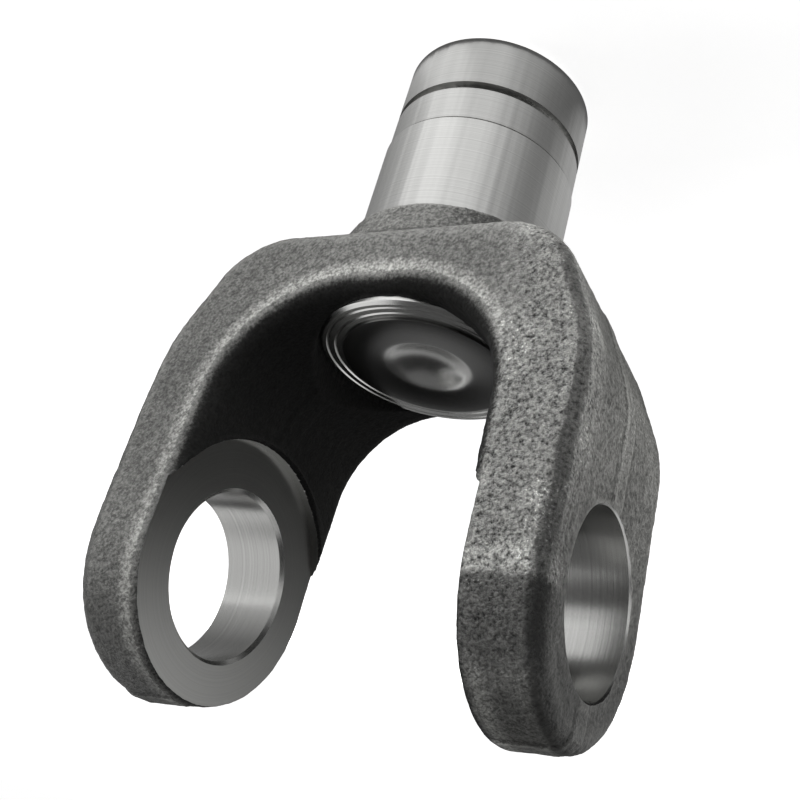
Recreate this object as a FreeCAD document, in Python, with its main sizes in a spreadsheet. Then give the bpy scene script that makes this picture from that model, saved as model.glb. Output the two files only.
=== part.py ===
# Forged yoke: a single steel forging with a two-eared fork and a turned shank.
# The shank stands on its flat end at z = 0 and the fork opens upwards. The
# cross bore runs along X, and the front of the fork faces -Y.

import FreeCAD, Part
import math
import os
import Sketcher

os.makedirs("parts", exist_ok=True)
doc = FreeCAD.newDocument("forged_yoke")

# Driving dimensions in millimetres, and the cone's angle in degrees
SIZES = {
    "bore_diameter": 35.0,
    "bore_chamfer": 0.8,
    "axis_height": 126.5,
    "width_over_ears": 97.0,
    "spot_face_gap": 66.0,
    "spot_face_diameter": 57.0,
    "forged_gap": 63.0,
    "jaw_floor_width": 58.0,
    "fork_width": 54.0,
    "shoulder_height": 58.2,
    "shoulder_width": 73.0,
    "shoulder_corner_radius": 18.0,
    "taper_height": 86.5,
    "taper_bend_radius": 40.0,
    "jaw_floor_height": 74.6,
    "jaw_corner_radius": 24.0,
    "outer_edge_radius": 4.0,
    "inner_edge_radius": 4.0,
    "flash_width": 5.0,
    "flash_height": 0.3,
    "journal_diameter": 45.2,
    "turned_length": 50.1,
    "end_diameter": 44.5,
    "end_length": 25.6,
    "end_chamfer": 1.3,
    "ring_groove_height": 14.7,
    "ring_groove_width": 2.0,
    "ring_groove_depth": 1.25,
    "centre_hole_diameter": 10.0,
    "centre_pilot_diameter": 4.0,
    "centre_hole_depth": 10.0,
    "centre_cone_angle": 60.0,
    "neck_start_width": 51.0,
    "neck_start_depth": 46.2,
    "neck_base_width": 66.0,
    "neck_base_depth": 50.0,
    "pad_diameter": 48.0,
    "pad_height": 76.6,
    "pad_rim_chamfer": 0.7,
    "pad_step_diameter": 37.4,
    "pad_step_depth": 0.5,
    "dish_diameter": 21.0,
    "dish_inner_diameter": 17.0,
    "dish_depth": 0.7,
    "dimple_depth": 2.3,
}

sheet = doc.addObject("Spreadsheet::Sheet", "Sizes")
for row, (alias, number) in enumerate(SIZES.items(), start=1):
    sheet.set(f"A{row}", alias)
    sheet.set(f"B{row}", str(number))
    sheet.setAlias(f"B{row}", alias)
doc.recompute()


class Length:
    """A length with the formula that ties it to the sheet."""

    def __init__(self, value, formula):
        self.value = value
        self.formula = formula

    def __add__(self, other):
        return Length(self.value + other.value, f"({self.formula} + {other.formula})")

    def __sub__(self, other):
        return Length(self.value - other.value, f"({self.formula} - {other.formula})")

    def __neg__(self):
        return Length(-self.value, f"(0 - {self.formula})")

    def __mul__(self, factor):
        return Length(self.value * factor, f"({self.formula} * {factor})")

    def __truediv__(self, divisor):
        return Length(self.value / divisor, f"({self.formula} / {divisor})")


def size(alias):
    """Reads a driving dimension from the sheet."""
    return Length(float(getattr(sheet, alias)), f"Sizes.{alias}")


ZERO = Length(0.0, "0")
body = doc.addObject("PartDesign::Body", "forged_yoke")
body.Label = "forged_yoke"


def new_sketch(name, role, height=None):
    """Starts a sketch on the origin plane with this role, or at a height over it."""
    plane = next(item for item in body.Origin.OriginFeatures if item.Role == role)
    sketch = body.newObject("Sketcher::SketchObject", name)
    sketch.AttachmentSupport = [(plane, "")]
    sketch.MapMode = "FlatFace"
    if height is not None:
        sketch.setExpression("AttachmentOffset.Base.z", height.formula)
    return sketch


def drive(sketch, constraint, name, length):
    """Adds a measured constraint to a sketch and ties it to its formula."""
    index = sketch.addConstraint(constraint)
    sketch.renameConstraint(index, name)
    sketch.setExpression(f"Constraints.{name}", length.formula)


def place_point(sketch, geometry, end, across, up, name):
    """Ties a point of a sketch to its two coordinates; None leaves one free."""
    for kind, axis, length, word in (
        ("DistanceX", -2, across, "across"),
        ("DistanceY", -1, up, "up"),
    ):
        if length is None:
            continue
        if length is ZERO:
            sketch.addConstraint(Sketcher.Constraint("PointOnObject", geometry, end, axis))
            continue
        constraint = Sketcher.Constraint(kind, -1, 1, geometry, end, length.value)
        drive(sketch, constraint, f"{name}_{word}", length)


def arc_between(start, end, across, up):
    """Gives the arc between two points, from one known coordinate of its centre."""
    spread = (start.dot(start) - end.dot(end)) / 2
    if up is None:
        centre_across = across.value
        centre_up = (spread - centre_across * (start.x - end.x)) / (start.y - end.y)
    else:
        centre_up = up.value
        centre_across = (spread - centre_up * (start.y - end.y)) / (start.x - end.x)
    centre = FreeCAD.Vector(centre_across, centre_up, 0)
    arms = [start - centre, end - centre]
    turns_left = arms[0].cross(arms[1]).z >= 0
    if not turns_left:
        arms.reverse()
    circle = Part.Circle(centre, FreeCAD.Vector(0, 0, 1), arms[0].Length)
    return Part.ArcOfCircle(circle, *[math.atan2(arm.y, arm.x) for arm in arms]), turns_left


def closed_outline(sketch, corners, arc_centres):
    """Draws a closed outline; arc_centres gives curved sides one coordinate of their centre."""
    points = [FreeCAD.Vector(across.value, up.value, 0) for across, up in corners]
    ends = []
    for number, start in enumerate(points):
        end = points[(number + 1) % len(points)]
        if number in arc_centres:
            arc, turns_left = arc_between(start, end, *arc_centres[number])
            geometry = sketch.addGeometry(arc, False)
            ends.append((geometry, 1, 2) if turns_left else (geometry, 2, 1))
        else:
            geometry = sketch.addGeometry(Part.LineSegment(start, end), False)
            ends.append((geometry, 1, 2))
    for number, (geometry, first, last) in enumerate(ends):
        following, its_first, _ = ends[(number + 1) % len(ends)]
        sketch.addConstraint(
            Sketcher.Constraint("Coincident", geometry, last, following, its_first)
        )
        across, up = corners[number]
        place_point(sketch, geometry, first, across, up, f"corner_{number}")
        if number in arc_centres:
            place_point(sketch, geometry, 3, *arc_centres[number], f"centre_{number}")
    doc.recompute()


def rounded_outline(sketch, corners):
    """Draws a closed outline from corners, each with the radius that rounds it or None."""
    points = [FreeCAD.Vector(across.value, up.value, 0) for across, up, _ in corners]
    starts = []
    arcs = []
    for number, (_, _, radius) in enumerate(corners):
        if radius is None:
            starts.append((points[number], points[number]))
            arcs.append(None)
            continue
        back = (points[number - 1] - points[number]).normalize()
        ahead = (points[(number + 1) % len(points)] - points[number]).normalize()
        half_angle = back.getAngle(ahead) / 2
        reach = radius.value / math.tan(half_angle)
        centre = points[number] + (back + ahead).normalize() * (
            radius.value / math.sin(half_angle)
        )
        ends = (points[number] + back * reach, points[number] + ahead * reach)
        arms = [end - centre for end in ends]
        turns_left = arms[0].cross(arms[1]).z >= 0
        if not turns_left:
            arms.reverse()
        circle = Part.Circle(centre, FreeCAD.Vector(0, 0, 1), radius.value)
        arc = Part.ArcOfCircle(circle, *[math.atan2(arm.y, arm.x) for arm in arms])
        starts.append(ends)
        arcs.append((sketch.addGeometry(arc, False), turns_left))
    sides = []
    for number, (_, start) in enumerate(starts):
        end = starts[(number + 1) % len(starts)][0]
        sides.append(sketch.addGeometry(Part.LineSegment(start, end), False))
    for number, (across, up, radius) in enumerate(corners):
        before = sides[number - 1]
        after = sides[number]
        if radius is None:
            sketch.addConstraint(Sketcher.Constraint("Coincident", before, 2, after, 1))
            place_point(sketch, after, 1, across, up, f"corner_{number}")
            continue
        arc, turns_left = arcs[number]
        first, last = (1, 2) if turns_left else (2, 1)
        sketch.addConstraint(Sketcher.Constraint("Tangent", before, 2, arc, first))
        sketch.addConstraint(Sketcher.Constraint("Tangent", arc, last, after, 1))
        constraint = Sketcher.Constraint("Radius", arc, radius.value)
        drive(sketch, constraint, f"radius_{number}", radius)
        corner = sketch.addGeometry(Part.Point(points[number]), True)
        sketch.addConstraint(Sketcher.Constraint("PointOnObject", corner, 1, before))
        sketch.addConstraint(Sketcher.Constraint("PointOnObject", corner, 1, after))
        place_point(sketch, corner, 1, across, up, f"corner_{number}")
    doc.recompute()


def finished(feature, adds):
    """Recomputes a feature and checks that it added or removed material."""
    before = feature.BaseFeature.Shape.Volume if feature.BaseFeature else 0.0
    doc.recompute()
    gained = feature.Shape.Volume - before
    if (gained > 0) != adds:
        raise ValueError(f"{feature.Name} changed the volume by {gained}")
    return feature


def extrude(kind, sketch, name, length, adds):
    """Pads or pockets a sketch to both sides of its plane."""
    feature = body.newObject(kind, name)
    feature.Profile = sketch
    feature.SideType = "Symmetric"
    feature.setExpression("Length", length.formula)
    return finished(feature, adds)


def revolve(kind, sketch, name, axis, adds):
    """Turns a sketch through a full circle about one of its axes."""
    feature = body.newObject(kind, name)
    feature.Profile = sketch
    feature.ReferenceAxis = (sketch, [axis])
    feature.Angle = 360
    return finished(feature, adds)


def edge_names(feature, wanted):
    """Names the edges whose direction and middle point pass a test."""
    names = []
    for number, edge in enumerate(feature.Shape.Edges, start=1):
        middle = (edge.FirstParameter + edge.LastParameter) / 2
        if wanted(edge.tangentAt(middle), edge.valueAt(middle)):
            names.append(f"Edge{number}")
    return names


def round_edges(name, base, wanted, radius):
    """Fillets the chosen edges of the last feature."""
    feature = body.newObject("PartDesign::Fillet", name)
    feature.Base = (base, edge_names(base, wanted))
    feature.setExpression("Radius", radius.formula)
    doc.recompute()
    return feature


NEAR = 0.01

axis_height = size("axis_height")
half_width = size("width_over_ears") / 2
half_fork = size("fork_width") / 2
half_gap = size("forged_gap") / 2
shoulder = size("shoulder_height")
floor = size("jaw_floor_height")
outer_radius = size("outer_edge_radius")
inner_radius = size("inner_edge_radius")


def fork_outline(sketch, grown, top, tip_radii):
    """Draws the fork's front outline, grown all round by a margin, up to a height."""
    half = [
        (
            size("shoulder_width") / 2 + grown * 0.65,
            shoulder - grown,
            size("shoulder_corner_radius") + grown,
        ),
        (half_width + grown, size("taper_height"), size("taper_bend_radius") + grown),
        (half_width + grown, top, tip_radii[0]),
        (half_gap - grown, top, tip_radii[1]),
        (
            size("jaw_floor_width") / 2 - grown,
            floor + grown,
            size("jaw_corner_radius") - grown,
        ),
    ]
    other_half = [(-across, up, radius) for across, up, radius in reversed(half)]
    rounded_outline(sketch, half + other_half)


# Fork blank: shoulders, tapers, arms and the jaw's round corners, through the full width
front_sketch = new_sketch("front_outline", "XZ_Plane")
blank_top = axis_height + half_fork * 1.5
fork_outline(front_sketch, ZERO, blank_top, (None, None))
extrude("PartDesign::Pad", front_sketch, "fork_blank", half_fork * 2, True)

# Ear tips: one full-round cut over both ears
tip_sketch = new_sketch("tip_outline", "YZ_Plane")
beside_ears = half_fork * 1.5
above_ears = axis_height + half_fork * 2
closed_outline(
    tip_sketch,
    [
        (half_fork, axis_height),
        (-half_fork, axis_height),
        (-beside_ears, axis_height),
        (-beside_ears, above_ears),
        (beside_ears, above_ears),
        (beside_ears, axis_height),
    ],
    {0: (None, axis_height)},
)
tips = extrude("PartDesign::Pocket", tip_sketch, "ear_tips", half_width * 3, False)


def on_side_outline(direction, middle):
    """Tells whether an edge goes round the fork's front, tips and back."""
    reach = math.hypot(middle.y, max(middle.z - axis_height.value, 0))
    tip_seam = abs(direction.x) > 1 - NEAR and middle.z > floor.value + NEAR
    return abs(reach - half_fork.value) < NEAR and not tip_seam


def inside_jaw(middle):
    """Tells whether a point lies on the jaw's walls or floor."""
    return abs(middle.x) < half_gap.value + NEAR and middle.z > floor.value - NEAR


# Forging edges, rounded outside and inside the fork
outer_edges = round_edges(
    "outer_edges",
    tips,
    lambda direction, middle: on_side_outline(direction, middle) and not inside_jaw(middle),
    outer_radius,
)
round_edges(
    "inner_edges",
    outer_edges,
    lambda direction, middle: on_side_outline(direction, middle) and inside_jaw(middle),
    inner_radius,
)

# Trimmed flash: the low land that the closed dies leave in the middle plane
flash_height = size("flash_height")
flash_sketch = new_sketch("flash_outline", "XZ_Plane")
flash_top = axis_height + half_fork + flash_height
tip_radii = (outer_radius + flash_height, inner_radius + flash_height)
fork_outline(flash_sketch, flash_height, flash_top, tip_radii)
extrude("PartDesign::Pad", flash_sketch, "flash", size("flash_width"), True)

# Shank: the turned end and journal, run on into the fork
end_radius = size("end_diameter") / 2
journal_radius = size("journal_diameter") / 2
turned_length = size("turned_length")
neck_root = shoulder + outer_radius
shank_sketch = new_sketch("shank_profile", "XZ_Plane")
closed_outline(
    shank_sketch,
    [
        (ZERO, ZERO),
        (end_radius, ZERO),
        (end_radius, size("end_length")),
        (journal_radius, size("end_length")),
        (journal_radius, neck_root),
        (ZERO, neck_root),
    ],
    {},
)
revolve("PartDesign::Revolution", shank_sketch, "shank", "V_Axis", True)


def neck_section(name, height):
    """Draws the neck's elliptical section at a height."""
    sketch = new_sketch(name, "XY_Plane", height)
    width = size(f"{name}_width")
    depth = size(f"{name}_depth")
    ellipse = Part.Ellipse(FreeCAD.Vector(), width.value / 2, depth.value / 2)
    sketch.addGeometry(ellipse, False)
    sketch.exposeInternalGeometry(0)
    sketch.addConstraint(Sketcher.Constraint("Coincident", 0, 3, -1, 1))
    sketch.addConstraint(Sketcher.Constraint("Horizontal", 1))
    drive(sketch, Sketcher.Constraint("Distance", 1, width.value), "width", width)
    drive(sketch, Sketcher.Constraint("Distance", 2, depth.value), "depth", depth)
    doc.recompute()
    return sketch


# Neck: forged, an ellipse that widens across the fork from the end of the turning
neck_start = neck_section("neck_start", turned_length)
neck_base = neck_section("neck_base", neck_root)
neck = body.newObject("PartDesign::AdditiveLoft", "neck")
neck.Profile = neck_start
neck.Sections = [neck_base]
finished(neck, True)

# Shank end: the chamfered rim, the retaining-ring groove and the centre hole
end_chamfer = body.newObject("PartDesign::Chamfer", "end_chamfer")
end_chamfer.Base = (
    neck,
    edge_names(neck, lambda direction, middle: abs(middle.z) < NEAR),
)
end_chamfer.setExpression("Size", size("end_chamfer").formula)
doc.recompute()

groove_floor = end_radius - size("ring_groove_depth")
groove_bottom = size("ring_groove_height")
groove_top = groove_bottom + size("ring_groove_width")
groove_sketch = new_sketch("ring_groove_profile", "XZ_Plane")
closed_outline(
    groove_sketch,
    [
        (groove_floor, groove_bottom),
        (journal_radius, groove_bottom),
        (journal_radius, groove_top),
        (groove_floor, groove_top),
    ],
    {},
)
revolve("PartDesign::Groove", groove_sketch, "ring_groove", "V_Axis", False)

centre_radius = size("centre_hole_diameter") / 2
pilot_radius = size("centre_pilot_diameter") / 2
cone_slope = math.tan(math.radians(SIZES["centre_cone_angle"] / 2))
cone_height = Length(
    (centre_radius - pilot_radius).value / cone_slope,
    f"({(centre_radius - pilot_radius).formula} / tan(Sizes.centre_cone_angle / 2))",
)
centre_sketch = new_sketch("centre_hole_profile", "XZ_Plane")
closed_outline(
    centre_sketch,
    [
        (ZERO, ZERO),
        (centre_radius, ZERO),
        (pilot_radius, cone_height),
        (pilot_radius, size("centre_hole_depth")),
        (ZERO, size("centre_hole_depth")),
    ],
    {},
)
revolve("PartDesign::Groove", centre_sketch, "centre_hole", "V_Axis", False)

# Jaw floor: stock for the turned pad, then the pad's face with its step, dish
# and dimple; the same cut counterbores the forged corners beside the pad
pad_radius = size("pad_diameter") / 2
pad_top = size("pad_height")
stock_sketch = new_sketch("pad_stock_profile", "XZ_Plane")
closed_outline(
    stock_sketch,
    [(ZERO, neck_root), (pad_radius, neck_root), (pad_radius, pad_top), (ZERO, pad_top)],
    {},
)
revolve("PartDesign::Revolution", stock_sketch, "pad_stock", "V_Axis", True)

rim_chamfer = size("pad_rim_chamfer")
step_radius = size("pad_step_diameter") / 2
rim_top = pad_top - size("pad_step_depth")
dish_outer = size("dish_diameter") / 2
dish_inner = size("dish_inner_diameter") / 2
dish_floor = pad_top - size("dish_depth")
dimple_floor = dish_floor - size("dimple_depth")
clearance_top = floor + size("jaw_corner_radius") + rim_chamfer
pad_sketch = new_sketch("pad_face_profile", "XZ_Plane")
closed_outline(
    pad_sketch,
    [
        (ZERO, dimple_floor),
        (dish_inner, dish_floor),
        (dish_outer, pad_top),
        (step_radius, pad_top),
        (step_radius, rim_top),
        (pad_radius - rim_chamfer, rim_top),
        (pad_radius, rim_top - rim_chamfer),
        (pad_radius, clearance_top),
        (ZERO, clearance_top),
    ],
    {0: (ZERO, None)},
)
revolve("PartDesign::Groove", pad_sketch, "pad_face", "V_Axis", False)

# Spot faces: one round cutter faces the inner sides of both ears
spot_sketch = new_sketch("spot_face_circle", "YZ_Plane")
spot_radius = size("spot_face_diameter") / 2
spot_circle = Part.Circle(
    FreeCAD.Vector(0, axis_height.value, 0), FreeCAD.Vector(0, 0, 1), spot_radius.value
)
spot_sketch.addGeometry(spot_circle, False)
place_point(spot_sketch, 0, 3, ZERO, axis_height, "centre")
spot_constraint = Sketcher.Constraint("Radius", 0, spot_radius.value)
drive(spot_sketch, spot_constraint, "spot_radius", spot_radius)
extrude("PartDesign::Pocket", spot_sketch, "spot_faces", size("spot_face_gap"), False)

# Cross bore: bored in line through both ears, chamfered at all four faces
bore_radius = size("bore_diameter") / 2
chamfer = size("bore_chamfer")
half_spot = size("spot_face_gap") / 2
past_flash = half_width + flash_height
mouth_radius = bore_radius + chamfer + flash_height
relief_radius = bore_radius + chamfer * 2
bore_sketch = new_sketch("bore_profile", "XZ_Plane")
closed_outline(
    bore_sketch,
    [
        (-past_flash, axis_height),
        (past_flash, axis_height),
        (past_flash, axis_height + mouth_radius),
        (half_width - chamfer, axis_height + bore_radius),
        (half_spot + chamfer, axis_height + bore_radius),
        (half_spot - chamfer, axis_height + relief_radius),
        (-(half_spot - chamfer), axis_height + relief_radius),
        (-(half_spot + chamfer), axis_height + bore_radius),
        (-(half_width - chamfer), axis_height + bore_radius),
        (-past_flash, axis_height + mouth_radius),
    ],
    {},
)
bore = body.newObject("PartDesign::Groove", "cross_bore")
bore.Profile = bore_sketch
bore.ReferenceAxis = (bore_sketch, ["Edge1"])
bore.Angle = 360
finished(bore, False)
body.Tip = bore
doc.recompute()

for item in doc.Objects:
    if "Invalid" in item.State or "Error" in item.State:
        raise ValueError(f"{item.Name} is {item.State}")
if body.Shape.isNull() or not body.Shape.isValid():
    raise ValueError("the yoke's solid is not valid")
if len(body.Shape.Solids) != 1:
    raise ValueError(f"the yoke has {len(body.Shape.Solids)} solids")
body.Shape.exportStep(f"parts/{body.Label}.step")
print(f"{body.Label}: {body.Shape.Volume:.0f} mm3, {len(body.Shape.Faces)} faces")
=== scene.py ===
import math

import bmesh
import bpy
import mathutils
import numpy
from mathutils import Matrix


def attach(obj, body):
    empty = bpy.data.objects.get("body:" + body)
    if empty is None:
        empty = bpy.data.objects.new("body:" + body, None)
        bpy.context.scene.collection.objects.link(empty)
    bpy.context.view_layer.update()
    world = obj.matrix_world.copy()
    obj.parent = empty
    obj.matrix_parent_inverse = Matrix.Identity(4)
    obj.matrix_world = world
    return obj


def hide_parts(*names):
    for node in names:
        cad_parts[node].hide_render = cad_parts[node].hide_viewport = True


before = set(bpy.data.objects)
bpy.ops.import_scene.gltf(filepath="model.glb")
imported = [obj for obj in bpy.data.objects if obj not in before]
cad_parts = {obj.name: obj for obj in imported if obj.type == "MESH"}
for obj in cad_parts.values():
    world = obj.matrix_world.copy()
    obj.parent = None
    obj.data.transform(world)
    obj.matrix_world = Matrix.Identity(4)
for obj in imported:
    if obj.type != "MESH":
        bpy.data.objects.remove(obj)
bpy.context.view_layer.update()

# The forging is pressed hot from a steel billet between two closed dies, then
# shot-blasted. As a blank, its bores, ear faces and jaw floor still hold stock,
# and its skin has the pits of the scale that came off.
MM = 0.001
AXIS_HEIGHT = 126.5 * MM
BORE_RADIUS = 17.5 * MM
BORE_CHAMFER = 0.8 * MM
HALF_WIDTH = 48.5 * MM
HALF_SPOT_GAP = 33.0 * MM
STOCK = 1.4 * MM
PLUG_RADIUS = 25.9 * MM
PLUG_NECK_RADIUS = BORE_RADIUS + BORE_CHAMFER + 0.3 * MM
PLUG_DEPTH = 4 * MM
EAR_STOCK = 1.2 * MM
EAR_STOCK_DEPTH = 2 * MM
EAR_STOCK_RADIUS = 26.6 * MM
EAR_STOCK_REACH = 29.2 * MM
TURNED_LENGTH = 50.1 * MM
SKIN_VOXEL = 0.62 * MM
SKIN_GAP = 0.05 * MM
MERGE_DISTANCE = 0.001 * MM
ROUND_SIDES = 192


def turned(name, profile, across=False):
    """Turns a profile of (radius, distance) points, closed on its axis at both ends.

    The axis is the shank's, or the cross bore's where across is true.
    """
    turns = numpy.linspace(0, 2 * math.pi, ROUND_SIDES, endpoint=False)
    shape = bmesh.new()
    rings = []
    for radius, distance in profile:
        if radius == 0:
            spots = [(0, 0, distance)]
        else:
            spots = [(radius * math.cos(a), radius * math.sin(a), distance) for a in turns]
        if across:
            spots = [(along, y, AXIS_HEIGHT + x) for x, y, along in spots]
        rings.append([shape.verts.new(spot) for spot in spots])
    for ring, following in zip(rings, rings[1:]):
        for i in range(ROUND_SIDES):
            j = (i + 1) % ROUND_SIDES
            if len(ring) == 1:
                corners = (ring[0], following[i], following[j])
            elif len(following) == 1:
                corners = (ring[i], ring[j], following[0])
            else:
                corners = (ring[i], ring[j], following[j], following[i])
            shape.faces.new(corners)
    bmesh.ops.recalc_face_normals(shape, faces=shape.faces)
    mesh = bpy.data.meshes.new(name)
    shape.to_mesh(mesh)
    shape.free()
    thing = bpy.data.objects.new(name, mesh)
    bpy.context.scene.collection.objects.link(thing)
    return thing


def applied(thing):
    """Turns a piece's live modifiers into its plain mesh."""
    shown = thing.evaluated_get(bpy.context.evaluated_depsgraph_get())
    mesh = bpy.data.meshes.new_from_object(shown)
    thing.modifiers.clear()
    spent = thing.data
    thing.data = mesh
    bpy.data.meshes.remove(spent)


def joined(thing, tool, operation):
    """Adds or cuts a tool's volume and throws the tool away."""
    boolean = thing.modifiers.new("tool", "BOOLEAN")
    boolean.object = tool
    boolean.operation = operation
    boolean.solver = "MANIFOLD"
    applied(thing)
    bpy.data.objects.remove(tool)


blank_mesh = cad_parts["forged_yoke"].data.copy()
shape = bmesh.new()
shape.from_mesh(blank_mesh)
bmesh.ops.remove_doubles(shape, verts=shape.verts, dist=MERGE_DISTANCE)
shape.to_mesh(blank_mesh)
shape.free()
yoke = bpy.data.objects.new("yoke_forging", blank_mesh)
bpy.context.scene.collection.objects.link(yoke)

for side in (-1, 1):
    plug = [
        (0, HALF_SPOT_GAP - STOCK),
        (PLUG_RADIUS, HALF_SPOT_GAP - STOCK),
        (PLUG_RADIUS, HALF_SPOT_GAP + PLUG_DEPTH),
        (PLUG_NECK_RADIUS, HALF_SPOT_GAP + PLUG_DEPTH + 1 * MM),
        (PLUG_NECK_RADIUS, HALF_WIDTH - SKIN_GAP),
        (0, HALF_WIDTH - SKIN_GAP),
    ]
    joined(yoke, turned("bore stock", [(r, side * x) for r, x in plug], across=True), "UNION")
    disc = [
        (0, HALF_SPOT_GAP - EAR_STOCK),
        (EAR_STOCK_RADIUS, HALF_SPOT_GAP - EAR_STOCK),
        (EAR_STOCK_RADIUS, HALF_SPOT_GAP + EAR_STOCK_DEPTH),
        (0, HALF_SPOT_GAP + EAR_STOCK_DEPTH),
    ]
    stock = turned("ear stock", [(r, side * x) for r, x in disc], across=True)
    # Below the bore the disc reaches further, but never past the arm's two edges.
    for vertex in stock.data.vertices:
        _, y, z = vertex.co
        if z < AXIS_HEIGHT and abs(y) > 0:
            grown = min(EAR_STOCK_REACH / EAR_STOCK_RADIUS, EAR_STOCK_RADIUS / abs(y))
            vertex.co.y = y * grown
            vertex.co.z = AXIS_HEIGHT + (z - AXIS_HEIGHT) * grown
    joined(yoke, stock, "UNION")


END_CUT_START = -5 * MM
END_CUT_RADIUS = 40 * MM


def end_cut(height):
    """Gives a cutter that takes off everything below a height on the shank."""
    outline = [
        (0, END_CUT_START),
        (END_CUT_RADIUS, END_CUT_START),
        (END_CUT_RADIUS, height),
        (0, height),
    ]
    return turned("end cut", outline)


# The forged skin stops where turning starts, so the blank ends there too.
joined(yoke, end_cut(TURNED_LENGTH - 1 * MM), "DIFFERENCE")
remesh = yoke.modifiers.new("forged skin", "REMESH")
remesh.mode = "VOXEL"
remesh.voxel_size = SKIN_VOXEL
applied(yoke)


def add_node(tree, kind, inputs=(), **settings):
    """Adds a node with its settings, and with values, nodes or sockets as its inputs.

    The inputs come by name or number, or as a list that starts at the first socket.
    """
    node = tree.nodes.new(kind)
    for name, value in settings.items():
        setattr(node, name, value)
    named = inputs if isinstance(inputs, dict) else dict(enumerate(inputs))
    for name, value in named.items():
        if isinstance(value, bpy.types.Node):
            value = next(output for output in value.outputs if output.enabled)
        if isinstance(value, bpy.types.NodeSocket):
            tree.links.new(value, node.inputs[name])
        else:
            node.inputs[name].default_value = value
    return node


def colour(code):
    """Turns an sRGB hex colour into linear red, green, blue and alpha."""
    parts = [int(code[i : i + 2], 16) / 255 for i in (1, 3, 5)]
    linear = [c / 12.92 if c <= 0.04045 else ((c + 0.055) / 1.055) ** 2.4 for c in parts]
    return (*linear, 1.0)


def finish(name, **values):
    """Starts a material whose shader has these values."""
    material = bpy.data.materials.new(name)
    material.use_nodes = True
    tree = material.node_tree
    shader = tree.nodes["Principled BSDF"]
    for key, value in values.items():
        shader.inputs[key.replace("_", " ")].default_value = value
    place = add_node(tree, "ShaderNodeTexCoord").outputs["Object"]
    return material, tree, shader, place


# Shot-blasted forging steel looks like mid-grey stone: dark oxide in its pits and
# bright crests where the shot struck. Painted shade makes it nearly black in the jaw
# and darkens the long rounded edges, the outer sides toward the tips and one arm's
# tip. Painted highlights brighten the jaw's edge and, on that arm's coarser front,
# a band short of the tip and scattered glints.
MATH = "ShaderNodeMath"
VECTOR_MATH = "ShaderNodeVectorMath"
RANGE = "ShaderNodeMapRange"
NOISE = "ShaderNodeTexNoise"
MIX = "ShaderNodeMix"
SMOOTH = {"interpolation_type": "SMOOTHSTEP"}
GRAIN_SIZE = 0.6 * MM
CRUST_SIZE = 0.75 * MM
PATCH_SIZE = 16 * MM
JAW_FLOOR = 74.6 * MM
JAW_CORNER = 24 * MM
HALF_JAW_LOW = 29 * MM
HALF_JAW_HIGH = 31.5 * MM
JAW_HIGH = 180 * MM
RAGGED = 2.6 * MM
COARSE_ACROSS = (-24 * MM, -36 * MM)
COARSE_FRONT = (-14 * MM, -25 * MM)
forged, tree, shader, place = finish("shot-blasted forging steel", Specular_IOR_Level=0.4)
spot = add_node(tree, "ShaderNodeSeparateXYZ", [place]).outputs
skin_facts = add_node(tree, "ShaderNodeNewGeometry").outputs
facing = add_node(tree, "ShaderNodeSeparateXYZ", [skin_facts["Normal"]]).outputs
grain = add_node(
    tree, NOISE, {"Vector": place, "Scale": 1 / GRAIN_SIZE, "Detail": 4.0, "Roughness": 0.6}
)
crust = add_node(
    tree, NOISE, {"Vector": place, "Scale": 1 / CRUST_SIZE, "Detail": 5.0, "Roughness": 0.7}
)
patches = add_node(tree, NOISE, {"Vector": place, "Scale": 1 / PATCH_SIZE, "Detail": 2.0})
crest = add_node(tree, RANGE, [skin_facts["Pointiness"], 0.44, 0.57], **SMOOTH)

coarse_across = add_node(tree, RANGE, [spot["X"], *COARSE_ACROSS], **SMOOTH)
coarse_front = add_node(tree, RANGE, [spot["Y"], *COARSE_FRONT], **SMOOTH)
coarse = add_node(tree, MATH, [coarse_across, coarse_front], operation="MULTIPLY")
even = add_node(tree, MATH, [1.0, coarse], operation="SUBTRACT")

# The relief of the fine skin and of the coarse one, as shares of each pattern
reliefs = []
for level, shares in (
    (0.0, ((crest, 0.45), (grain, 0.55))),
    (-0.35, ((grain, 0.5), (crest, 0.24), (crust, 0.96))),
):
    relief = level
    for pattern, share in shares:
        relief = add_node(tree, MATH, [pattern, share, relief], operation="MULTIPLY_ADD")
    reliefs.append(relief)
height = add_node(tree, MIX, {0: coarse, 2: reliefs[0], 3: reliefs[1]})

# The fine skin's tones and the coarse one's, from pit to crest
tones = []
for pit, top, pace, dark, pale in (
    (0.34, 0.66, "SMOOTHSTEP", "#383836", "#898986"),
    (0.31, 0.70, "LINEAR", "#161615", "#d2d2ce"),
):
    share = add_node(tree, RANGE, [height, pit, top], interpolation_type=pace)
    tones.append(
        add_node(tree, MIX, {0: share, 6: colour(dark), 7: colour(pale)}, data_type="RGBA")
    )
tone = add_node(tree, MIX, {0: coarse, 6: tones[0], 7: tones[1]}, data_type="RGBA")

# Distances that the masks are drawn on, with an edge as ragged as the crust: from
# the middle of the fork, from the jaw's outline seen from the front, and from the
# parting plane
ragged = add_node(tree, MATH, [crust, RAGGED, -0.5 * RAGGED], operation="MULTIPLY_ADD")
span = add_node(tree, MATH, [spot["X"]], operation="ABSOLUTE")
above = add_node(tree, MATH, [spot["Z"], AXIS_HEIGHT], operation="SUBTRACT")
above = add_node(tree, MATH, [above, 0.0], operation="MAXIMUM")
away = add_node(tree, "ShaderNodeCombineXYZ", [spot["Y"], above])
depth = add_node(tree, VECTOR_MATH, [away], operation="LENGTH")
depth = add_node(tree, MATH, [depth, ragged], operation="ADD")
half_flat = add_node(
    tree,
    RANGE,
    [spot["Z"], JAW_FLOOR, JAW_HIGH, HALF_JAW_LOW - JAW_CORNER, HALF_JAW_HIGH - JAW_CORNER],
)
beside = add_node(tree, MATH, [span, half_flat], operation="SUBTRACT")
beside = add_node(tree, MATH, [beside, 0.0], operation="MAXIMUM")
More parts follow.
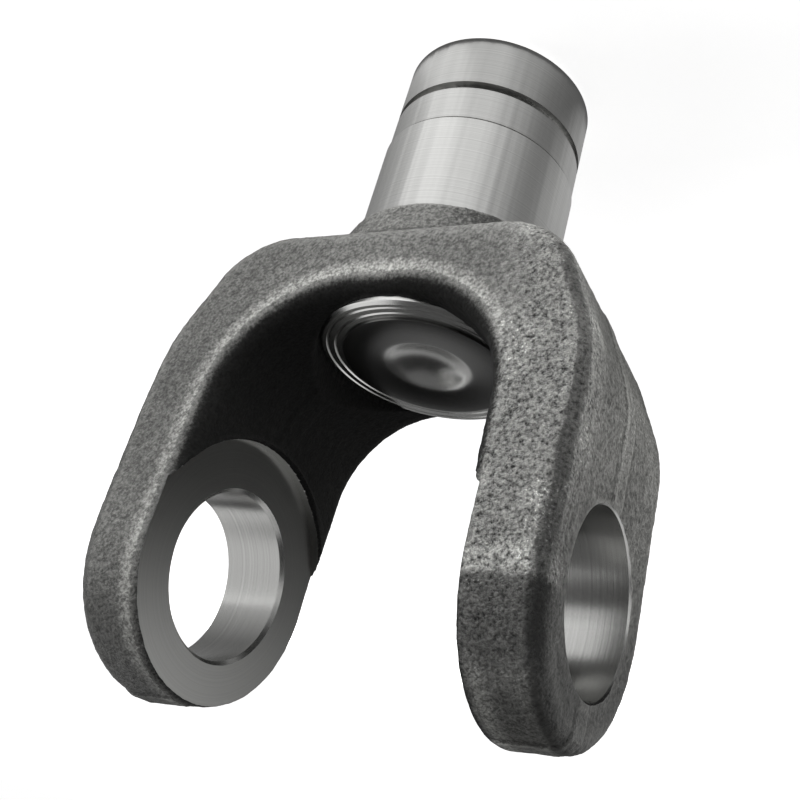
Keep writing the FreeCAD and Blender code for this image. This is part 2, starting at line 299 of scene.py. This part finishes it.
below = add_node(tree, MATH, [JAW_FLOOR + JAW_CORNER, spot["Z"]], operation="SUBTRACT")
below = add_node(tree, MATH, [below, 0.0], operation="MAXIMUM")
corner = add_node(tree, "ShaderNodeCombineXYZ", [beside, below])
corner = add_node(tree, VECTOR_MATH, [corner], operation="LENGTH")
from_jaw = add_node(tree, MATH, [corner, JAW_CORNER], operation="SUBTRACT")
from_jaw = add_node(tree, MATH, [from_jaw, ragged], operation="ADD")
middle = add_node(tree, MATH, [spot["Y"], ragged], operation="ADD")
middle = add_node(tree, MATH, [middle], operation="ABSOLUTE")
brink = add_node(tree, MATH, [ragged, 2.4, spot["Z"]], operation="MULTIPLY_ADD")
# How far a face has turned from the front to the side, over the arms' long edges
rounded = add_node(tree, MATH, [facing["X"], facing["Y"]], operation="MULTIPLY")
rounded = add_node(tree, MATH, [rounded], operation="ABSOLUTE")
rounded = add_node(tree, MATH, [ragged, 0.35 / MM, rounded], operation="MULTIPLY_ADD")

# Where each shade lies: what it keeps to, and the ranges over which it comes in
masks = {"coarse": coarse}
for name, share, ranges in (
    (
        "hollow",
        1.0,
        (
            (depth, 23.5 * MM, 22.5 * MM),
            (span, 38 * MM, 36 * MM),
            (spot["Z"], 65 * MM, 66 * MM),
        ),
    ),
    # A painted highlight along the jaw's edge, just outside the jaw's painted shade
    ("painted arris highlight", even, ((from_jaw, 3.8 * MM, 4.5 * MM), (from_jaw, 8.5 * MM, 4.6 * MM))),
    # Painted shade on the arms' long rounded edges, where a face turns from the front to the
    # side
    ("painted edge shade", 1.0, ((rounded, 0.26, 0.45), (from_jaw, 6 * MM, 9 * MM))),
    # Painted shade where the coarse arm's front rounds over into its tip
    (
        "painted tip shade",
        coarse,
        ((brink, 131 * MM, 132.6 * MM), (brink, 148 * MM, 144 * MM, 0.6, 1.0)),
    ),
    # A painted highlight band on the coarse arm's front, just short of the tip's painted
    # shade
    ("painted highlight band", coarse, ((brink, 124 * MM, 130.5 * MM), (brink, 132 * MM, 131 * MM))),
    ("glints", coarse, ((grain, 0.6, 0.68), (patches, 0.46, 0.6, 0.25, 1.0))),
    ("outer side", 1.0, ((span, 44 * MM, 46 * MM),)),
):
    for limits in ranges:
        part = add_node(tree, RANGE, limits, **SMOOTH)
        share = add_node(tree, MATH, [share, part], operation="MULTIPLY")
    masks[name] = share
# The jaw and the hollow inside the fork carry painted shade: the skin there is made nearly
# black.
jaw = add_node(tree, RANGE, [from_jaw, 4.4 * MM, 1.4 * MM], **SMOOTH)
jaw = add_node(tree, MATH, [jaw, masks["hollow"]], operation="MAXIMUM")
outside = add_node(tree, MATH, [1.0, jaw], operation="SUBTRACT")
land = add_node(tree, RANGE, [middle, 3.0 * MM, 2.4 * MM], **SMOOTH)
land = add_node(tree, MATH, [land, outside], operation="MULTIPLY")
masks["jaw"] = jaw
masks["flash land"] = land

# How much darker or paler each mask makes the skin
shade = add_node(tree, RANGE, [patches, 0.3, 0.7, 0.8, 1.12], **SMOOTH)
# Painted shade: the outer sides are lighter near the arms' roots and darker toward the tips.
shade_toward_tip = add_node(tree, RANGE, [spot["Z"], 80 * MM, 145 * MM, 1.2, 0.3], **SMOOTH)
# The skin is made darker toward the arm at +X.
other_arm = add_node(tree, RANGE, [spot["X"], 5 * MM, 42 * MM, 1.12, 0.84], **SMOOTH)
shade = add_node(tree, MATH, [shade, other_arm], operation="MULTIPLY")
for name, factor in (
    # painted shade, nearly black, in the jaw
    ("jaw", 0.05),
    ("outer side", shade_toward_tip),
    ("painted arris highlight", 2.2),
    ("flash land", 1.2),
    ("painted edge shade", 0.36),
    ("painted tip shade", 0.42),
    ("painted highlight band", 1.5),
    ("glints", 2.4),
    ("coarse", 1.05),
):
    change = add_node(tree, RANGE, [masks[name], 0.0, 1.0, 1.0, factor], **SMOOTH)
    shade = add_node(tree, MATH, [shade, change], operation="MULTIPLY")
tone = add_node(tree, VECTOR_MATH, {0: tone, "Scale": shade}, operation="SCALE")
tree.links.new(tone.outputs[0], shader.inputs["Base Color"])

bare_crest = add_node(tree, RANGE, [height, 0.6, 0.72], **SMOOTH)
struck = add_node(tree, RANGE, [jaw, 0.0, 1.0, 1.0, 0.1], **SMOOTH)
bare_crest = add_node(tree, MATH, [bare_crest, struck], operation="MULTIPLY")
tree.links.new(bare_crest.outputs[0], shader.inputs["Metallic"])
matt = add_node(tree, RANGE, [jaw, 0.0, 1.0, 0.5, 0.95], **SMOOTH)
tree.links.new(matt.outputs[0], shader.inputs["Roughness"])
drop = add_node(tree, RANGE, [coarse, 0.0, 1.0, 0.6 * MM, 1.6 * MM], **SMOOTH)
bump = add_node(
    tree, "ShaderNodeBump", {"Height": height, "Strength": 0.9, "Distance": drop}
)
tree.links.new(bump.outputs[0], shader.inputs["Normal"])

# Real relief: slight lumps from the dies, and pits that are deeper in the scale
# on the front of one arm
skin_tree = bpy.data.node_groups.new("blasted forging skin", "GeometryNodeTree")
for name, kind, in_out in (
    ("Geometry", "NodeSocketGeometry", "INPUT"),
    ("Geometry", "NodeSocketGeometry", "OUTPUT"),
    ("Lump Size", "NodeSocketFloat", "INPUT"),
    ("Lump Depth", "NodeSocketFloat", "INPUT"),
    ("Pit Size", "NodeSocketFloat", "INPUT"),
    ("Pit Depth", "NodeSocketFloat", "INPUT"),
    ("Scale Depth", "NodeSocketFloat", "INPUT"),
    ("Seed", "NodeSocketFloat", "INPUT"),
):
    skin_tree.interface.new_socket(name, in_out=in_out, socket_type=kind)
source = add_node(skin_tree, "NodeGroupInput").outputs
position = add_node(skin_tree, "GeometryNodeInputPosition")
spot = add_node(skin_tree, "ShaderNodeSeparateXYZ", [position]).outputs
scale_across = add_node(skin_tree, RANGE, [spot["X"], *COARSE_ACROSS], **SMOOTH)
scale_front = add_node(skin_tree, RANGE, [spot["Y"], *COARSE_FRONT], **SMOOTH)
scaly = add_node(skin_tree, MATH, [scale_across, scale_front], operation="MULTIPLY")
depth = 0.0
for size, deepest, detail, where in (
    ("Lump Size", "Lump Depth", 1.0, 1.0),
    ("Pit Size", "Pit Depth", 2.0, 1.0),
    ("Pit Size", "Scale Depth", 3.0, scaly),
):
    scale = add_node(skin_tree, MATH, [1.0, source[size]], operation="DIVIDE")
    noise = add_node(
        skin_tree,
        NOISE,
        {"W": source["Seed"], "Scale": scale, "Detail": detail},
        noise_dimensions="4D",
    )
    sunk = add_node(skin_tree, RANGE, [noise, 0.3, 0.7, 0.0, source[deepest]])
    depth = add_node(skin_tree, MATH, [sunk, where, depth], operation="MULTIPLY_ADD")
inward = add_node(skin_tree, MATH, [depth, -1.0], operation="MULTIPLY")
normal = add_node(skin_tree, "GeometryNodeInputNormal")
offset = add_node(
    skin_tree, VECTOR_MATH, {0: normal, "Scale": inward}, operation="SCALE"
)
moved = add_node(
    skin_tree,
    "GeometryNodeSetPosition",
    {"Geometry": source["Geometry"], "Offset": offset},
)
real = add_node(skin_tree, "GeometryNodeRealizeInstances", [moved])
painted = add_node(
    skin_tree, "GeometryNodeSetMaterial", {"Geometry": real, "Material": forged}
)
add_node(skin_tree, "NodeGroupOutput", [painted])

SKIN = {
    "Lump Size": 13 * MM,
    "Lump Depth": 0.2 * MM,
    "Pit Size": 1.7 * MM,
    "Pit Depth": 0.16 * MM,
    "Scale Depth": 0.12 * MM,
    "Seed": 4.0,
}
skin = yoke.modifiers.new("blasted skin", "NODES")
skin.node_group = skin_tree
for item in skin_tree.interface.items_tree:
    if item.name in SKIN:
        skin[item.identifier] = SKIN[item.name]
applied(yoke)

# The shank is turned from the forging in a lathe: a journal, a finer step, and an
# end with a groove for a retaining ring, a chamfer and the lathe's centre hole.
JOURNAL_RADIUS = 22.6 * MM
JOURNAL_CHAMFER = 0.2 * MM
END_RADIUS = 22.25 * MM
END_LENGTH = 25.6 * MM
END_CHAMFER = 1.3 * MM
GROOVE_HEIGHT = 14.7 * MM
GROOVE_WIDTH = 2.0 * MM
GROOVE_DEPTH = 1.25 * MM
UNDERCUT_WIDTH = 0.4 * MM
UNDERCUT_DEPTH = 0.25 * MM
CENTRE_RADIUS = 5.0 * MM
PILOT_RADIUS = 2.0 * MM
CENTRE_DEPTH = 10.0 * MM
CENTRE_HALF_ANGLE = math.radians(30)
SHANK_ROOT = TURNED_LENGTH + 6 * MM
joined(yoke, end_cut(TURNED_LENGTH), "DIFFERENCE")
cone_height = (CENTRE_RADIUS - PILOT_RADIUS) / math.tan(CENTRE_HALF_ANGLE)
shank = turned(
    "turned shank",
    [
        (0, CENTRE_DEPTH),
        (PILOT_RADIUS, CENTRE_DEPTH),
        (PILOT_RADIUS, cone_height),
        (CENTRE_RADIUS, 0),
        (END_RADIUS - END_CHAMFER, 0),
        (END_RADIUS, END_CHAMFER),
        (END_RADIUS, GROOVE_HEIGHT),
        (END_RADIUS - GROOVE_DEPTH, GROOVE_HEIGHT),
        (END_RADIUS - GROOVE_DEPTH, GROOVE_HEIGHT + GROOVE_WIDTH),
        (END_RADIUS, GROOVE_HEIGHT + GROOVE_WIDTH),
        (END_RADIUS, END_LENGTH - UNDERCUT_WIDTH),
        (END_RADIUS - UNDERCUT_DEPTH, END_LENGTH - UNDERCUT_WIDTH),
        (END_RADIUS - UNDERCUT_DEPTH, END_LENGTH),
        (JOURNAL_RADIUS - JOURNAL_CHAMFER, END_LENGTH),
        (JOURNAL_RADIUS, END_LENGTH + JOURNAL_CHAMFER),
        (JOURNAL_RADIUS, SHANK_ROOT),
        (0, SHANK_ROOT),
    ],
)
joined(yoke, shank, "UNION")


def tool_lines(tree, along, pitch, depth):
    """Cuts a tool's fine lines across a direction, and gives them and their relief."""
    lines = add_node(
        tree,
        NOISE,
        {"W": along, "Scale": 1 / pitch, "Detail": 3.0, "Roughness": 0.7},
        noise_dimensions="1D",
    )
    relief = {"Height": lines, "Strength": 0.5, "Distance": depth}
    return lines, add_node(tree, "ShaderNodeBump", relief)


# Turned steel is bright bare metal. The feed's fine rings draw its reflections out
# round the shank, slow waves in the turning break them into soft upright streaks,
# and the end beyond the groove is only rough-turned, so it is duller.
# The feed is drawn about twice as coarse as a real one, which is too fine to show.
FEED = 0.35 * MM
WAVES_PER_TURN = 28.0
STEP_BLUR = 0.1 * MM
turned_steel, tree, shader, place = finish("turned steel", Metallic=1.0, Anisotropic=0.75)
spot = add_node(tree, "ShaderNodeSeparateXYZ", [place]).outputs
lines, rings = tool_lines(tree, spot["Z"], FEED, 0.012 * MM)
turn = add_node(tree, "ShaderNodeTexGradient", {"Vector": place}, gradient_type="RADIAL")
waves = add_node(
    tree,
    NOISE,
    {"W": turn.outputs["Fac"], "Scale": WAVES_PER_TURN, "Detail": 2.0},
    noise_dimensions="1D",
)
waved = add_node(
    tree,
    "ShaderNodeBump",
    {"Height": waves, "Strength": 0.6, "Distance": 0.6 * MM, "Normal": rings},
)
tree.links.new(waved.outputs[0], shader.inputs["Normal"])
mark = add_node(tree, MATH, [waves, 0.3], operation="MULTIPLY")
mark = add_node(tree, MATH, [lines, 0.7, mark], operation="MULTIPLY_ADD")
tone = add_node(
    tree, MIX, {0: mark, 6: colour("#a0a09e"), 7: colour("#e6e6e4")}, data_type="RGBA"
)
groove = (spot["Z"], GROOVE_HEIGHT, GROOVE_HEIGHT + GROOVE_WIDTH)
step = (spot["Z"], END_LENGTH - STEP_BLUR, END_LENGTH + STEP_BLUR)
past_groove = add_node(tree, RANGE, [*groove, 0.76, 0.88])
past_step = add_node(tree, RANGE, [*step, 0.0, 0.12], **SMOOTH)
clean = add_node(tree, MATH, [past_groove, past_step], operation="ADD")
tone = add_node(tree, VECTOR_MATH, {0: tone, "Scale": clean}, operation="SCALE")
tree.links.new(tone.outputs[0], shader.inputs["Base Color"])
matt = add_node(tree, RANGE, [*groove, 0.32, 0.3], **SMOOTH)
tree.links.new(matt.outputs[0], shader.inputs["Roughness"])
around = add_node(tree, VECTOR_MATH, [(0, 0, 1), place], operation="CROSS_PRODUCT")
around = add_node(tree, VECTOR_MATH, [around], operation="NORMALIZE")
tree.links.new(around.outputs[0], shader.inputs["Tangent"])

# The pad on the jaw's floor is faced in the same lathe. It has a stepped rim with
# two fine tool grooves, a shallow dish and a dimple in its middle.
PAD_RADIUS = 24.0 * MM
PAD_TOP = 76.6 * MM
PAD_ROOT = 65.0 * MM
PAD_GAP = 0.15 * MM
PAD_STEP_RADIUS = 18.7 * MM
PAD_STEP_DEPTH = 0.5 * MM
PAD_RIM_CHAMFER = 0.7 * MM
RIM_GROOVES = (20.4 * MM, 22.2 * MM)
RIM_GROOVE = 0.3 * MM
DISH_RADIUS = 10.5 * MM
DISH_INNER_RADIUS = 8.5 * MM
DISH_DEPTH = 0.7 * MM
DIMPLE_DEPTH = 2.3 * MM
DIMPLE_STEPS = 12
PAD_CLEARANCE = 99.5 * MM
PAD_OVERRUN = 0.05 * MM
pad_room = [
    (0, PAD_ROOT + 1 * MM),
    (PAD_RADIUS + PAD_GAP, PAD_ROOT + 1 * MM),
    (PAD_RADIUS + PAD_GAP, PAD_CLEARANCE),
    (0, PAD_CLEARANCE),
]
joined(yoke, turned("pad clearance", pad_room), "DIFFERENCE")
pad_stock = [
    (0, PAD_ROOT),
    (PAD_RADIUS, PAD_ROOT),
    (PAD_RADIUS, PAD_TOP + STOCK),
    (0, PAD_TOP + STOCK),
]
joined(yoke, turned("pad stock", pad_stock), "UNION")
rim_top = PAD_TOP - PAD_STEP_DEPTH
dimple_floor = PAD_TOP - DISH_DEPTH - DIMPLE_DEPTH
dimple_arc = (DISH_INNER_RADIUS**2 + DIMPLE_DEPTH**2) / (2 * DIMPLE_DEPTH)
pad_cut = [(0, dimple_floor)]
for step in range(1, DIMPLE_STEPS + 1):
    radius = DISH_INNER_RADIUS * step / DIMPLE_STEPS
    rise = dimple_arc - math.sqrt(dimple_arc**2 - radius**2)
    pad_cut.append((radius, dimple_floor + rise))
pad_cut += [
    (DISH_RADIUS, PAD_TOP),
    (PAD_STEP_RADIUS, PAD_TOP),
    (PAD_STEP_RADIUS, rim_top),
]
for radius in RIM_GROOVES:
    pad_cut += [
        (radius - RIM_GROOVE, rim_top),
        (radius, rim_top - RIM_GROOVE),
        (radius + RIM_GROOVE, rim_top),
    ]
pad_cut += [
    (PAD_RADIUS - PAD_RIM_CHAMFER, rim_top),
    (PAD_RADIUS + PAD_OVERRUN, rim_top - PAD_RIM_CHAMFER - PAD_OVERRUN),
    (PAD_RADIUS + PAD_OVERRUN, PAD_CLEARANCE),
    (0, PAD_CLEARANCE),
]
joined(yoke, turned("pad facing cutter", pad_cut), "DIFFERENCE")

# Faced steel is as bright as the shank, in rings round its middle, but the flat
# between the dish and the rim is darkened to nearly black.
FACING_PITCH = 0.7 * MM
DARKENED_FLAT = ((8.6 * MM, 11.0 * MM), (19.6 * MM, 18.2 * MM))
faced_steel, tree, shader, place = finish("faced steel", Roughness=0.27, Metallic=1.0)
flat = add_node(tree, VECTOR_MATH, [place, (1, 1, 0)], operation="MULTIPLY")
reach = add_node(tree, VECTOR_MATH, [flat], operation="LENGTH")
lines, rings = tool_lines(tree, reach, FACING_PITCH, 0.02 * MM)
tree.links.new(rings.outputs[0], shader.inputs["Normal"])
tone = add_node(
    tree, MIX, {0: lines, 6: colour("#c4c4c2"), 7: colour("#e4e4e2")}, data_type="RGBA"
)
inner, outer = (add_node(tree, RANGE, [reach, *ends], **SMOOTH) for ends in DARKENED_FLAT)
darkened_flat = add_node(tree, MATH, [inner, outer], operation="MULTIPLY")
clean = add_node(tree, RANGE, [darkened_flat, 0.0, 1.0, 1.0, 0.22], **SMOOTH)
tone = add_node(tree, VECTOR_MATH, {0: tone, "Scale": clean}, operation="SCALE")
tree.links.new(tone.outputs[0], shader.inputs["Base Color"])

# Each ear is spot-faced on its inner side, and one boring bar cuts the cross bore
# through both. The joint's two bearing caps press in there.
SPOT_RADIUS = 28.5 * MM
OUTER_CHAMFER = 0.7 * BORE_CHAMFER
INNER_CHAMFER_START = HALF_SPOT_GAP + BORE_CHAMFER
OUTER_CHAMFER_START = HALF_WIDTH - OUTER_CHAMFER
BAR_OVERRUN = 2 * BORE_CHAMFER
spot_cutter = [
    (0, -HALF_SPOT_GAP),
    (SPOT_RADIUS, -HALF_SPOT_GAP),
    (SPOT_RADIUS, HALF_SPOT_GAP),
    (0, HALF_SPOT_GAP),
]
joined(yoke, turned("spot face cutter", spot_cutter, across=True), "DIFFERENCE")
half_bore = [
    (BORE_RADIUS + 2 * BORE_CHAMFER, HALF_SPOT_GAP - BORE_CHAMFER),
    (BORE_RADIUS, INNER_CHAMFER_START),
    (BORE_RADIUS, OUTER_CHAMFER_START),
    (BORE_RADIUS + OUTER_CHAMFER + BAR_OVERRUN, HALF_WIDTH + BAR_OVERRUN),
    (0, HALF_WIDTH + BAR_OVERRUN),
]
bore_cutter = [(r, -x) for r, x in reversed(half_bore)] + half_bore
joined(yoke, turned("boring bar", bore_cutter, across=True), "DIFFERENCE")

# Milled steel is dull grey metal with faint arcs round the bore.
MILLING_PITCH = 0.5 * MM
milled_steel, tree, shader, place = finish("milled steel", Roughness=0.3, Metallic=1.0)
beside = add_node(tree, VECTOR_MATH, [place, (0, 0, -AXIS_HEIGHT)], operation="ADD")
beside = add_node(tree, VECTOR_MATH, [beside, (0, 1, 1)], operation="MULTIPLY")
reach = add_node(tree, VECTOR_MATH, [beside], operation="LENGTH")
lines, rings = tool_lines(tree, reach, MILLING_PITCH, 0.01 * MM)
tree.links.new(rings.outputs[0], shader.inputs["Normal"])
tone = add_node(
    tree, MIX, {0: lines, 6: colour("#929290"), 7: colour("#a2a2a0")}, data_type="RGBA"
)
tree.links.new(tone.outputs[2], shader.inputs["Base Color"])

# Bored steel is satin, with fine rings where the bar fed through.
BORING_PITCH = 0.6 * MM
bored_steel, tree, shader, place = finish("bored steel", Roughness=0.26, Metallic=1.0)
spot = add_node(tree, "ShaderNodeSeparateXYZ", [place]).outputs
lines, rings = tool_lines(tree, spot["X"], BORING_PITCH, 0.02 * MM)
tree.links.new(rings.outputs[0], shader.inputs["Normal"])
tone = add_node(
    tree, MIX, {0: lines, 6: colour("#9c9c9a"), 7: colour("#bcbcba")}, data_type="RGBA"
)
tree.links.new(tone.outputs[2], shader.inputs["Base Color"])

# The finished yoke is one piece of steel. Each face takes the finish of the last
# cutter that touched it, and the edges between two finishes are crisp.
SHARP_ANGLE = math.radians(35)
PAD_FOOT = 66.5 * MM
NEAR = 0.03 * MM
NEAR_SPOT_FACE = 0.02 * MM
NEAR_SHANK = 0.01 * MM
yoke.data.materials.clear()
for material in (forged, turned_steel, faced_steel, milled_steel, bored_steel):
    yoke.data.materials.append(material)
slots = {material.name: number for number, material in enumerate(yoke.data.materials)}
for face in yoke.data.polygons:
    x, y, z = face.center
    from_shank = math.hypot(x, y)
    from_bore = math.hypot(y, z - AXIS_HEIGHT)
    flare = max(0.0, abs(x) - OUTER_CHAMFER_START, INNER_CHAMFER_START - abs(x))
    over_pad = from_shank < PAD_RADIUS + NEAR and abs(x) < HALF_SPOT_GAP
    face.use_smooth = abs(abs(x) - HALF_SPOT_GAP) >= NEAR_SPOT_FACE
    if z < TURNED_LENGTH + NEAR_SHANK:
        made = turned_steel
    elif over_pad and PAD_FOOT < z < PAD_CLEARANCE:
        made = faced_steel
    elif from_bore < BORE_RADIUS + flare + NEAR:
        made = bored_steel
    elif from_bore < SPOT_RADIUS + NEAR and abs(x) < HALF_SPOT_GAP + NEAR_SPOT_FACE:
        made = milled_steel
    else:
        made = forged
    face.material_index = slots[made.name]
yoke.data.set_sharp_from_angle(angle=SHARP_ANGLE)
shape = bmesh.new()
shape.from_mesh(yoke.data)
for edge in shape.edges:
    if len({face.material_index for face in edge.link_faces}) > 1:
        edge.smooth = False
shape.to_mesh(yoke.data)
shape.free()
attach(yoke, "root")
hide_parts("forged_yoke")

# The camera stands where the photograph was taken. Its place, turn and lens were
# worked out from the bores, the pad and the shank, in units of the bore's radius.
FRAME_SIDE = 800
SENSOR_WIDTH = 36
FOCAL_PIXELS = 1045.95
CENTRE_PIXEL = (537.04, 445.31)
CAMERA_TURN = (-0.2755, -2.3849, -1.4353)
CAMERA_MOVE = (-1.8961, 1.5745, 11.7083)
turn = mathutils.Vector(CAMERA_TURN)
rotation = mathutils.Matrix.Rotation(turn.length, 3, turn.normalized())
place = rotation.transposed() @ -mathutils.Vector(CAMERA_MOVE) * BORE_RADIUS
place.z += AXIS_HEIGHT
camera_data = bpy.data.cameras.new("camera")
camera_data.sensor_width = SENSOR_WIDTH
camera_data.lens = SENSOR_WIDTH * FOCAL_PIXELS / FRAME_SIDE
camera_data.shift_x = (FRAME_SIDE / 2 - CENTRE_PIXEL[0]) / FRAME_SIDE
camera_data.shift_y = (CENTRE_PIXEL[1] - FRAME_SIDE / 2) / FRAME_SIDE
camera_data.clip_start = 0.01
camera = bpy.data.objects.new("camera", camera_data)
flip = mathutils.Matrix.Diagonal((1, -1, -1))
aim = (rotation.transposed() @ flip).to_4x4()
camera.matrix_world = mathutils.Matrix.Translation(place) @ aim
bpy.context.scene.collection.objects.link(camera)
bpy.context.scene.camera = camera

# The studio is a white room: the eye, reflections and glass see its full white,
# and its walls light the yoke only faintly. Soft panels do the rest.
ROOM_LIGHT = 0.12
ROOM_WHITE = 1.0
world = bpy.data.worlds.new("studio")
world.use_nodes = True
tree = world.node_tree
ray = add_node(tree, "ShaderNodeLightPath").outputs
seen = add_node(
    tree, MATH, [ray["Is Camera Ray"], ray["Is Glossy Ray"]], operation="MAXIMUM"
)
seen = add_node(tree, MATH, [seen, ray["Is Transmission Ray"]], operation="MAXIMUM")
strength = add_node(tree, RANGE, [seen, 0.0, 1.0, ROOM_LIGHT, ROOM_WHITE])
backdrop = tree.nodes["Background"]
backdrop.inputs["Color"].default_value = colour("#ffffff")
tree.links.new(strength.outputs[0], backdrop.inputs["Strength"])
bpy.context.scene.world = world

# Each panel's place, what it faces, its width, its height and its radiance
PANELS = {
    "front panel": ((0.20, -0.36, 0.004), (0.20, -0.36, 1), 0.6, 0.6, 3.0),
    "front lamp": ((0.32, -0.52, 0.03), (0.0, 0.0, 0.08), 0.3, 0.12, 4.5),
    "side panel": ((-0.42, 0.26, 0.004), (-0.42, 0.26, 1), 0.5, 0.5, 8.0),
    "back lamp": ((0.30, 0.60, 0.06), (0.0, 0.0, 0.08), 0.4, 0.2, 4.0),
    "top": ((0.45, -0.1, 0.8), (0.0, 0.0, 0.1), 0.3, 0.3, 2.6),
}
for name, (stands, faces, width, height, radiance) in PANELS.items():
    lamp = bpy.data.lights.new(name, "AREA")
    lamp.shape = "RECTANGLE"
    lamp.size = width
    lamp.size_y = height
    lamp.energy = radiance * math.pi * width * height
    panel = bpy.data.objects.new(name, lamp)
    panel.location = stands
    toward = mathutils.Vector(faces) - mathutils.Vector(stands)
    panel.rotation_euler = toward.to_track_quat("-Z", "Y").to_euler()
    panel.visible_camera = False
    panel.visible_glossy = False
    bpy.context.scene.collection.objects.link(panel)

# Cards that only reflections see give the bare steel painted reflections: its light
# and dark bands. Each has two compass bearings, its lower and upper edge as
# (distance, height), and its brightness.
CARDS = {
    "reflection disc": (-180, 180, (0.004, 0.0008), (0.5, 0.0008), 1.4),
    # A dark ring at the shank's foot: a painted shadow seen only in reflections
    "contact shadow": (-180, 180, (0.018, 0.0012), (0.0236, 0.0012), 0.18),
    "far floor": (42, 165, (0.08, 0.002), (0.62, 0.002), 0.02),
    "far side": (95, 127, (0.62, 0.0), (0.62, 0.14), 0.02),
    "back low": (36, 118, (0.5, 0.02), (0.5, 0.32), 0.38),
    "back high": (36, 118, (0.5, 0.32), (0.5, 1.1), 0.02),
    "front": (-178, -60, (0.6, 0.24), (0.6, 1.1), 0.05),
    "ceiling": (-180, 180, (0.0, 1.1), (0.75, 1.1), 0.15),
}
CARD_STEP = 15
# The reflection disc's brightness at each bearing, from dark behind to a painted bright
# streak
BEARINGS = {
    -180: 0.20,
    -162: 0.26,
    -140: 0.60,
    -126: 0.76,
    -117: 1.05,
    -95: 1.03,
    -85: 1.38,
    -56: 1.16,
    -44: 0.66,
    -22: 0.40,
    0: 0.24,
    80: 0.34,
    107: 0.56,
    152: 0.60,
    168: 0.40,
    180: 0.20,
}
for name, (first, last, low, high, brightness) in CARDS.items():
    card_paint, tree, shader, place = finish(
        f"{name} card", Base_Color=colour("#000000"), Roughness=1.0, Specular_IOR_Level=0.0
    )
    shader.inputs["Emission Color"].default_value = colour("#ffffff")
    shader.inputs["Emission Strength"].default_value = brightness
    if name == "reflection disc":
        turn = add_node(
            tree, "ShaderNodeTexGradient", {"Vector": place}, gradient_type="RADIAL"
        )
        levels = add_node(tree, "ShaderNodeValToRGB", {"Fac": turn.outputs["Fac"]})
        while len(levels.color_ramp.elements) < len(BEARINGS):
            levels.color_ramp.elements.new(0.5)
        for element, (bearing, level) in zip(levels.color_ramp.elements, BEARINGS.items()):
            element.position = bearing / 360 + 0.5
            element.color = (*[level / brightness] * 3, 1)
        tree.links.new(levels.outputs["Color"], shader.inputs["Emission Color"])
    bearings = numpy.radians(numpy.linspace(first, last, 2 + (last - first) // CARD_STEP))
    corners = [
        (reach * math.cos(a), reach * math.sin(a), z)
        for reach, z in (low, high)
        for a in bearings
    ]
    count = len(bearings)
    panes = [(i, i + 1, i + 1 + count, i + count) for i in range(count - 1)]
    sheet = bpy.data.meshes.new(f"{name} card")
    sheet.from_pydata(corners, [], panes)
    sheet.materials.append(card_paint)
    card = bpy.data.objects.new(f"{name} card", sheet)
    card.visible_camera = False
    card.visible_diffuse = False
    card.visible_shadow = False
    card.visible_transmission = False
    bpy.context.scene.collection.objects.link(card)

# The floor is a matt pale board. It glows for the eye and for reflections, a
# little less under the yoke, so that it stays white and still shows the shadow.
FLOOR_REACH = 3.0
FLOOR_DROP = 0.05 * MM
GLOW_NEAR = (0.05, 0.82)
GLOW_FAR = (0.2, 1.0)
floor_mesh = bpy.data.meshes.new("floor")
floor_mesh.from_pydata(
    [(x, y, 0) for x, y in ((-1, -1), (1, -1), (1, 1), (-1, 1))], [], [(0, 1, 2, 3)]
)
floor_mesh.transform(mathutils.Matrix.Scale(FLOOR_REACH, 4))
floor_mesh.transform(mathutils.Matrix.Translation((0, 0, -FLOOR_DROP)))
floor = bpy.data.objects.new("floor", floor_mesh)
bpy.context.scene.collection.objects.link(floor)
floor_paint, tree, shader, place = finish(
    "matt floor paint", Base_Color=colour("#f4f4f4"), Roughness=0.8
)
floor_mesh.materials.append(floor_paint)
ray = add_node(tree, "ShaderNodeLightPath").outputs
seen = add_node(
    tree, MATH, [ray["Is Camera Ray"], ray["Is Glossy Ray"]], operation="MAXIMUM"
)
away = add_node(tree, VECTOR_MATH, [place], operation="LENGTH")
level = add_node(
    tree, RANGE, [away, GLOW_NEAR[0], GLOW_FAR[0], GLOW_NEAR[1], GLOW_FAR[1]]
)
glow = add_node(tree, MATH, [seen, level], operation="MULTIPLY")
shader.inputs["Emission Color"].default_value = colour("#ffffff")
tree.links.new(glow.outputs[0], shader.inputs["Emission Strength"])

bpy.context.scene.view_settings.view_transform = "Standard"
